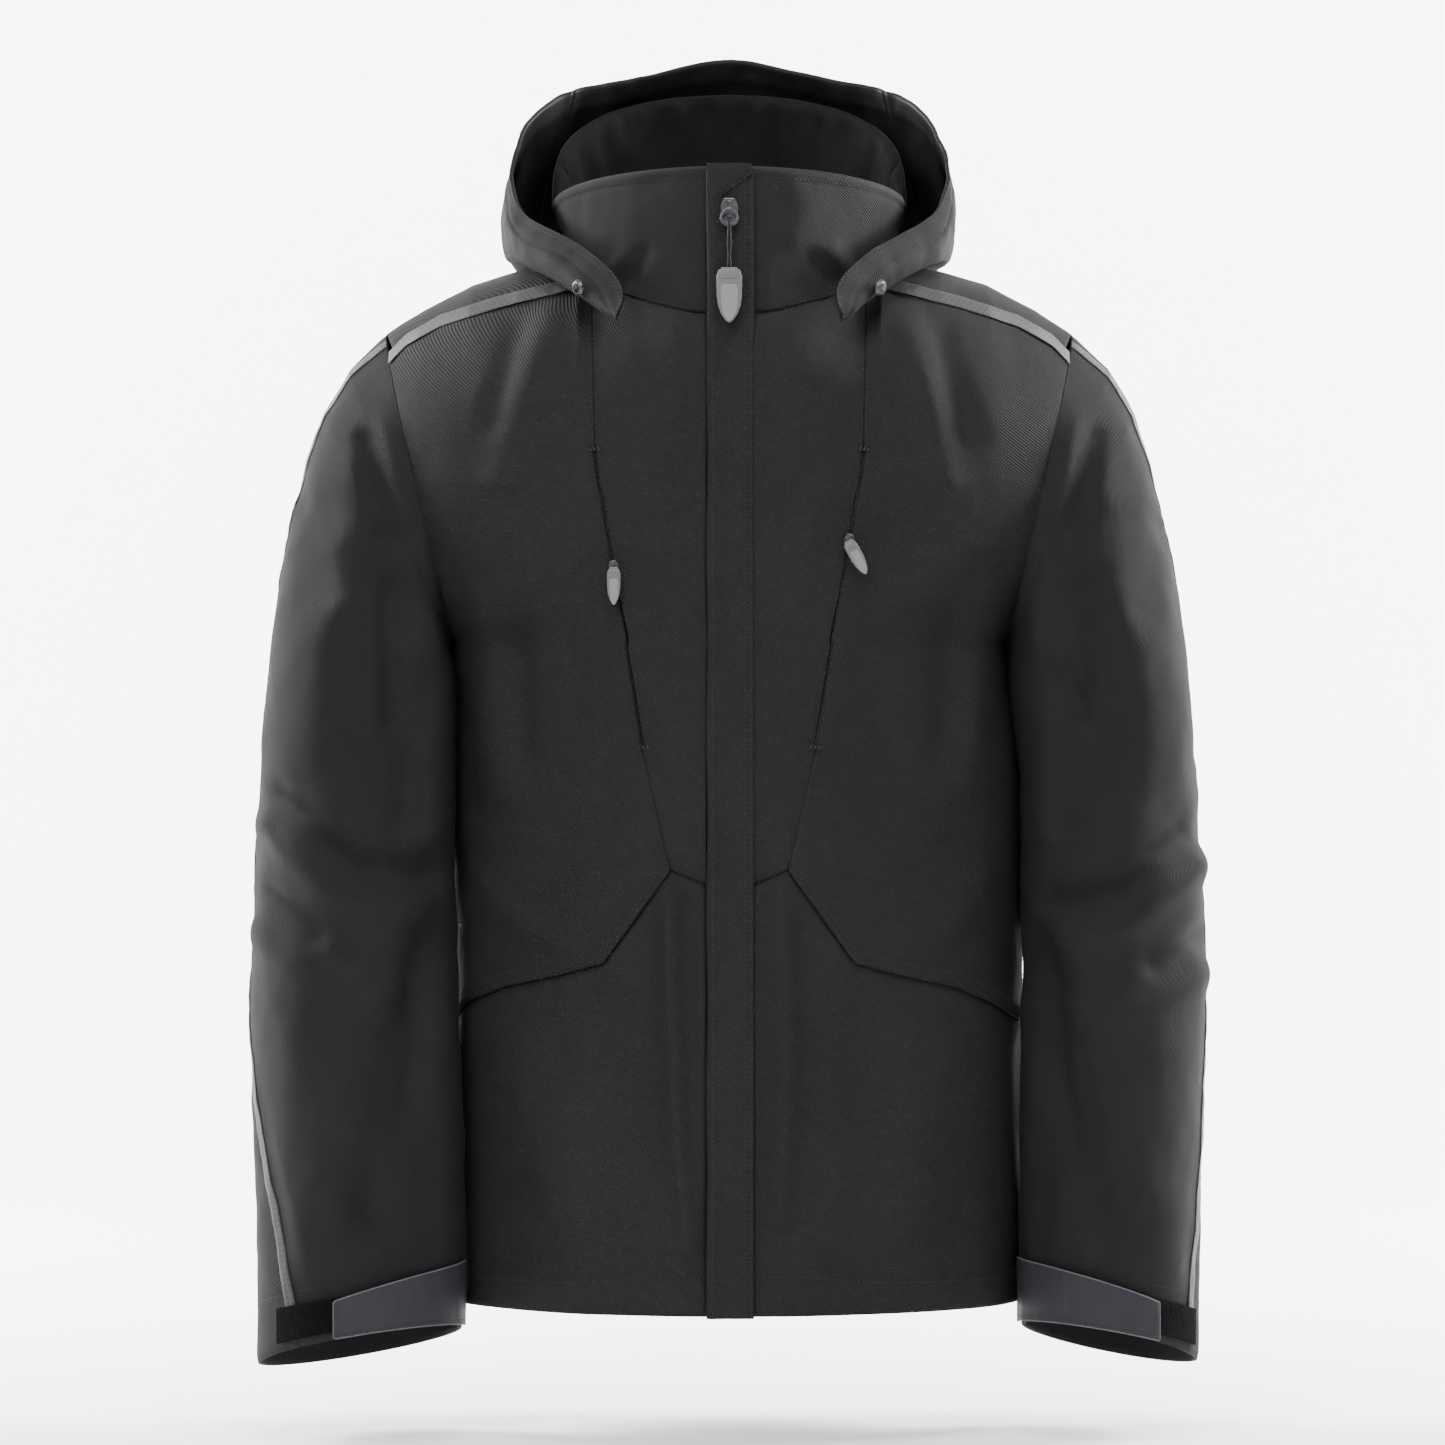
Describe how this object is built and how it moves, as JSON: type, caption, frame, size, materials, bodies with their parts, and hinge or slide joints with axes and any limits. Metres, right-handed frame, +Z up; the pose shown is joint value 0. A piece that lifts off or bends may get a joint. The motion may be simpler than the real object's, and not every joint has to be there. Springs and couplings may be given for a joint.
{
  "type": "hooded ski jacket",
  "caption": "Hooded winter ski jacket with a straight front zip, slanted chest zips, hand-pocket edges, reflective shoulder tape and closing cuff tabs.",
  "frame": {"origin": "middle of the neck opening, level with the tops of the shoulder seams", "axes": "+X to the wearer's left, front faces -Y, +Z up"},
  "size_m": [0.6824, 0.3314, 0.9541],
  "materials": {
    "shell_fabric": "matt black twill",
    "lining_fabric": "black taffeta",
    "reflective_tape": "grey perforated transfer tape",
    "tab_fabric": "slate grey coated cloth",
    "hook_and_loop": "black loop pile",
    "puller_plastic": "moulded grey with a silver face",
    "zip_tape_black": "black woven tape",
    "dark_metal": "gunmetal"
  },
  "bodies": {
    "jacket_body": {"side_front_left": "shell_fabric", "centre_front_left": "shell_fabric", "lower_front_left": "shell_fabric", "side_front_right": "shell_fabric", "centre_front_right": "shell_fabric", "lower_front_right": "shell_fabric", "back_panel": "shell_fabric", "yoke": "shell_fabric", "front_strip": "shell_fabric", "zip_coil": "zip_tape_black", "zip_tape_left": "zip_tape_black", "zip_tape_right": "zip_tape_black", "zip_bottom_box": "dark_metal", "wind_flap": "lining_fabric", "chin_guard": "shell_fabric", "chest_zip_left": "zip_tape_black", "chest_pocket_bag_left": "lining_fabric", "hand_pocket_bag_left": "lining_fabric", "chest_zip_right": "zip_tape_black", "chest_pocket_bag_right": "lining_fabric", "hand_pocket_bag_right": "lining_fabric", "shoulder_tape_left": "reflective_tape", "shoulder_tape_right": "reflective_tape", "collar_outer": "shell_fabric", "collar_facing": "shell_fabric", "hanger_loop": "zip_tape_black", "front_lining_left": "lining_fabric", "front_lining_right": "lining_fabric", "back_lining": "lining_fabric", "hem_facing_left": "shell_fabric", "hem_facing_right": "shell_fabric", "hem_facing_back": "shell_fabric"},
    "hood": {"hood_side_left": "shell_fabric", "hood_centre": "shell_fabric", "hood_side_right": "shell_fabric", "hood_snap_left": "dark_metal", "hood_snap_right": "dark_metal"},
    "main_slider": {"main_slider": "dark_metal"},
    "main_puller": {"main_bail": "dark_metal", "main_puller_cord": "zip_tape_black", "main_puller": "puller_plastic"},
    "sleeve_left": {"sleeve_front_left": "shell_fabric", "sleeve_back_left": "shell_fabric", "sleeve_lining_left": "lining_fabric", "sleeve_tape_left": "reflective_tape", "cuff_patch_left": "hook_and_loop"},
    "cuff_tab_left": {"cuff_tab_left": "tab_fabric", "cuff_hooks_left": "hook_and_loop"},
    "chest_slider_left": {"chest_slider_left": "dark_metal"},
    "chest_puller_left": {"chest_puller_left": "puller_plastic"},
    "sleeve_right": {"sleeve_front_right": "shell_fabric", "sleeve_back_right": "shell_fabric", "sleeve_lining_right": "lining_fabric", "sleeve_tape_right": "reflective_tape", "cuff_patch_right": "hook_and_loop"},
    "cuff_tab_right": {"cuff_tab_right": "tab_fabric", "cuff_hooks_right": "hook_and_loop"},
    "chest_slider_right": {"chest_slider_right": "dark_metal"},
    "chest_puller_right": {"chest_puller_right": "puller_plastic"}
  },
  "joints": [
    {"name": "hood_lift_off", "type": "slide", "parent": "jacket_body", "child": "hood", "axis": [0, 0, 1], "range_m": [0, 0.25]},
    {"name": "main_zip_slide", "type": "slide", "parent": "jacket_body", "child": "main_slider", "axis": [0, -0.004, -1], "range_m": [0, 0.7]},
    {"name": "main_puller_swing", "type": "hinge", "parent": "main_slider", "child": "main_puller", "pos_m": [0, -0.1385, 0.036], "axis": [-1, 0, 0], "range_deg": [0, 150]},
    {"name": "chest_zip_slide_left", "type": "slide", "parent": "jacket_body", "child": "chest_slider_left", "axis": [0.1628, 0.0129, 0.9866], "range_m": [-0.131, 0.052]},
    {"name": "chest_puller_swing_left", "type": "hinge", "parent": "chest_slider_left", "child": "chest_puller_left", "pos_m": [0.0835, -0.1336, -0.1969], "axis": [-1, 0, 0], "range_deg": [0, 110]},
    {"name": "chest_zip_slide_right", "type": "slide", "parent": "jacket_body", "child": "chest_slider_right", "axis": [-0.1628, 0.0129, 0.9866], "range_m": [-0.112, 0.034]},
    {"name": "chest_puller_swing_right", "type": "hinge", "parent": "chest_slider_right", "child": "chest_puller_right", "pos_m": [-0.0804, -0.1336, -0.2154], "axis": [-1, 0, 0], "range_deg": [0, 110]},
    {"name": "shoulder_swing_left", "type": "hinge", "parent": "jacket_body", "child": "sleeve_left", "pos_m": [0.2225, 0, -0.153], "axis": [-0.9761, 0, 0.2174], "range_deg": [0, 45], "stiffness_Nm_per_rad": 6},
    {"name": "cuff_tab_open_left", "type": "hinge", "parent": "sleeve_left", "child": "cuff_tab_left", "pos_m": [0.211, -0.046, -0.712], "axis": [0, 0, -1], "range_deg": [0, 50]},
    {"name": "shoulder_swing_right", "type": "hinge", "parent": "jacket_body", "child": "sleeve_right", "pos_m": [-0.2225, 0, -0.153], "axis": [-0.9761, 0, -0.2174], "range_deg": [0, 45], "stiffness_Nm_per_rad": 6},
    {"name": "cuff_tab_open_right", "type": "hinge", "parent": "sleeve_right", "child": "cuff_tab_right", "pos_m": [-0.186, -0.072, -0.712], "axis": [0, 0, 1], "range_deg": [0, 65]}
  ]
}
